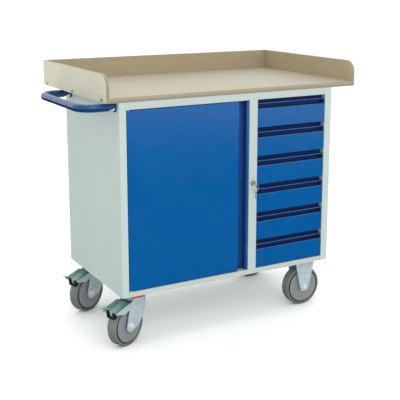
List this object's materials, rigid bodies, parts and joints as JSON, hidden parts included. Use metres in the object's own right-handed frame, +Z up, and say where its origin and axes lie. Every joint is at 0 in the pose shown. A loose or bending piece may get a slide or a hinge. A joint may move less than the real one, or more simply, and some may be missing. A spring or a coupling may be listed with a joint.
{
  "type": "mobile workbench with drawers",
  "caption": "Mobile sheet-steel workbench with a plywood rimmed worktop, a hinged cupboard door, a stack of drawers, a push handle and casters.",
  "frame": {"origin": "middle of the whole object's footprint, on the floor", "axes": "+X to the drawer side seen from the front, +Y to the back, +Z up"},
  "size_m": [1.1602, 0.6698, 1.005],
  "materials": {
    "plywood": "clear-lacquered birch plywood",
    "steel_fasteners": "bright zinc-plated steel",
    "grey_panels": "light grey fine-texture powder coat",
    "grey_front_frame": "light grey fine-texture powder coat",
    "zinc_runners": "galvanised sheet steel",
    "handle_blue": "gloss blue powder coat",
    "front_blue": "satin blue powder coat",
    "lock_metal": "nickel-plated",
    "zinc_caster": "bright blue-passivated zinc",
    "tyre_grey": "grey thermoplastic rubber, satin",
    "wheel_core": "mid-grey moulded polypropylene",
    "red_seal": "red moulded dust seal",
    "black_plastic": "black moulded plastic"
  },
  "bodies": {
    "root": {"worktop_board": "plywood", "rim_left": "plywood", "rim_back": "plywood", "rim_right": "plywood", "rim_screws": "steel_fasteners", "frame_bolts": "steel_fasteners", "side_panel_left": "grey_panels", "side_panel_right": "grey_panels", "back_panel": "grey_panels", "base_panel": "grey_panels", "partition_wall": "grey_panels", "shelf": "grey_panels", "top_rail": "grey_front_frame", "bottom_rail": "grey_front_frame", "centre_post": "grey_front_frame", "runner_rails": "zinc_runners", "push_handle": "handle_blue", "door_hinge_pins": "steel_fasteners", "lock_barrel": "lock_metal", "fixed_front_housing": "zinc_caster", "fixed_front_axle": "steel_fasteners", "fixed_rear_housing": "zinc_caster", "fixed_rear_axle": "steel_fasteners", "swivel_front_plate": "zinc_caster", "swivel_front_seal": "red_seal", "swivel_rear_plate": "zinc_caster", "swivel_rear_seal": "red_seal"},
    "door": {"door_panel": "front_blue"},
    "drawer_1": {"drawer_1_front": "front_blue", "drawer_1_box": "zinc_runners"},
    "drawer_2": {"drawer_2_front": "front_blue", "drawer_2_box": "zinc_runners"},
    "drawer_3": {"drawer_3_front": "front_blue", "drawer_3_box": "zinc_runners"},
    "drawer_4": {"drawer_4_front": "front_blue", "drawer_4_box": "zinc_runners"},
    "drawer_5": {"drawer_5_front": "front_blue", "drawer_5_box": "zinc_runners"},
    "drawer_6": {"drawer_6_front": "front_blue", "drawer_6_box": "zinc_runners"},
    "lock": {"lock_plug": "lock_metal", "key": "lock_metal"},
    "ring": {"key_ring": "lock_metal", "spare_key": "lock_metal"},
    "fixed_front_wheel": {"fixed_front_tyre": "tyre_grey", "fixed_front_core": "wheel_core"},
    "fixed_rear_wheel": {"fixed_rear_tyre": "tyre_grey", "fixed_rear_core": "wheel_core"},
    "swivel_front_head": {"swivel_front_fork": "zinc_caster", "swivel_front_axle": "steel_fasteners"},
    "swivel_front_wheel": {"swivel_front_tyre": "tyre_grey", "swivel_front_core": "wheel_core"},
    "swivel_front_brake": {"swivel_front_pedal": "zinc_caster", "swivel_front_block": "black_plastic"},
    "swivel_rear_head": {"swivel_rear_fork": "zinc_caster", "swivel_rear_axle": "steel_fasteners"},
    "swivel_rear_wheel": {"swivel_rear_tyre": "tyre_grey", "swivel_rear_core": "wheel_core"},
    "swivel_rear_brake": {"swivel_rear_pedal": "zinc_caster", "swivel_rear_block": "black_plastic"}
  },
  "joints": [
    {"name": "door_hinge", "type": "hinge", "parent": "root", "child": "door", "pos_m": [-0.4066, -0.29735, 0.55], "axis": [0, 0, -1], "range_deg": [0, 100]},
    {"name": "drawer_1_slide", "type": "slide", "parent": "root", "child": "drawer_1", "axis": [0, -1, 0], "range_m": [0, 0.36]},
    {"name": "drawer_2_slide", "type": "slide", "parent": "root", "child": "drawer_2", "axis": [0, -1, 0], "range_m": [0, 0.36]},
    {"name": "drawer_3_slide", "type": "slide", "parent": "root", "child": "drawer_3", "axis": [0, -1, 0], "range_m": [0, 0.36]},
    {"name": "drawer_4_slide", "type": "slide", "parent": "root", "child": "drawer_4", "axis": [0, -1, 0], "range_m": [0, 0.36]},
    {"name": "drawer_5_slide", "type": "slide", "parent": "root", "child": "drawer_5", "axis": [0, -1, 0], "range_m": [0, 0.36]},
    {"name": "drawer_6_slide", "type": "slide", "parent": "root", "child": "drawer_6", "axis": [0, -1, 0], "range_m": [0, 0.36]},
    {"name": "lock_turn", "type": "hinge", "parent": "root", "child": "lock", "pos_m": [0.10465, -0.30635, 0.5625], "axis": [0, 1, 0], "range_deg": [0, 90]},
    {"name": "ring_swing", "type": "hinge", "parent": "lock", "child": "ring", "pos_m": [0.10465, -0.32685, 0.5625], "axis": [0, 1, 0], "range_deg": [-45, 0]},
    {"name": "fixed_front_roll", "type": "hinge", "parent": "root", "child": "fixed_front_wheel", "pos_m": [0.3939, -0.22935, 0.08], "axis": [0, 1, 0], "continuous": true},
    {"name": "fixed_rear_roll", "type": "hinge", "parent": "root", "child": "fixed_rear_wheel", "pos_m": [0.3939, 0.15365, 0.08], "axis": [0, 1, 0], "continuous": true},
    {"name": "swivel_front_turn", "type": "hinge", "parent": "root", "child": "swivel_front_head", "pos_m": [-0.3631, -0.22935, 0.185], "axis": [0, 0, 1], "continuous": true},
    {"name": "swivel_front_roll", "type": "hinge", "parent": "swivel_front_head", "child": "swivel_front_wheel", "pos_m": [-0.41023, -0.25133, 0.08], "axis": [0.4226, -0.9063, 0], "continuous": true},
    {"name": "swivel_front_pedal_press", "type": "hinge", "parent": "swivel_front_head", "child": "swivel_front_brake", "pos_m": [-0.4211, -0.2564, 0.158], "axis": [0.4226, -0.9063, 0], "range_deg": [-8, 1]},
    {"name": "swivel_rear_turn", "type": "hinge", "parent": "root", "child": "swivel_rear_head", "pos_m": [-0.3631, 0.15365, 0.185], "axis": [0, 0, 1], "continuous": true},
    {"name": "swivel_rear_roll", "type": "hinge", "parent": "swivel_rear_head", "child": "swivel_rear_wheel", "pos_m": [-0.41023, 0.13167, 0.08], "axis": [0.4226, -0.9063, 0], "continuous": true},
    {"name": "swivel_rear_pedal_press", "type": "hinge", "parent": "swivel_rear_head", "child": "swivel_rear_brake", "pos_m": [-0.4211, 0.1266, 0.158], "axis": [0.4226, -0.9063, 0], "range_deg": [-8, 1]}
  ],
  "couplings": [
    {"joint": "ring_swing", "follows": "lock_turn", "ratio": -0.5}
  ]
}
